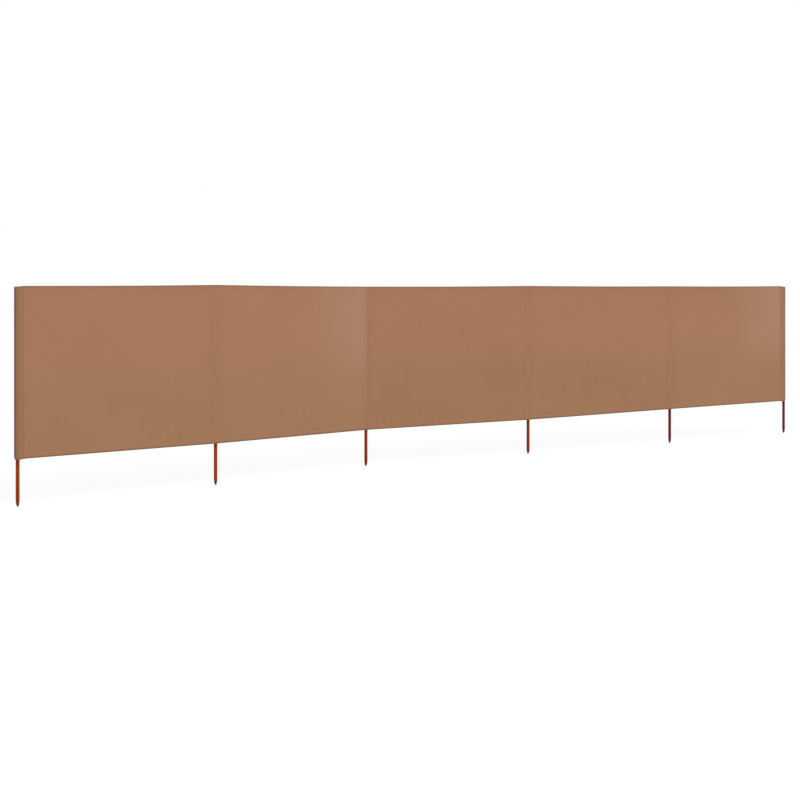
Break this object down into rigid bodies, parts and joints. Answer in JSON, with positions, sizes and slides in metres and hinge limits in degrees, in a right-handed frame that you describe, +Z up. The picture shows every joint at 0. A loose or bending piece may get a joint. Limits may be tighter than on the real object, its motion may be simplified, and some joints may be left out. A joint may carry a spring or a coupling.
{
  "type": "beach windbreak",
  "caption": "Long low windbreak of plain cloth bays on pointed wooden poles, each pole in a sleeve sewn to the cloth, pushed into sand to shelter a place from wind.",
  "frame": {"origin": "centre of the flat end of the first pole's point", "axes": "+X along the run of bays, +Y to the back where the sleeves' strips are sewn on, +Z up"},
  "size_m": [5.9877, 0.3014, 1.011],
  "materials": {
    "cloth": "matt plain weave",
    "pole_wood": "stained, satin"
  },
  "bodies": {
    "root": {"pole_1": "pole_wood", "pole_2": "pole_wood", "pole_3": "pole_wood", "pole_4": "pole_wood", "pole_5": "pole_wood", "pole_6": "pole_wood", "panel_1": "cloth", "panel_2": "cloth", "panel_3": "cloth", "panel_4": "cloth", "panel_5": "cloth", "sleeve_1": "cloth", "sleeve_2": "cloth", "sleeve_3": "cloth", "sleeve_4": "cloth", "sleeve_5": "cloth", "sleeve_6": "cloth"}
  },
  "joints": []
}
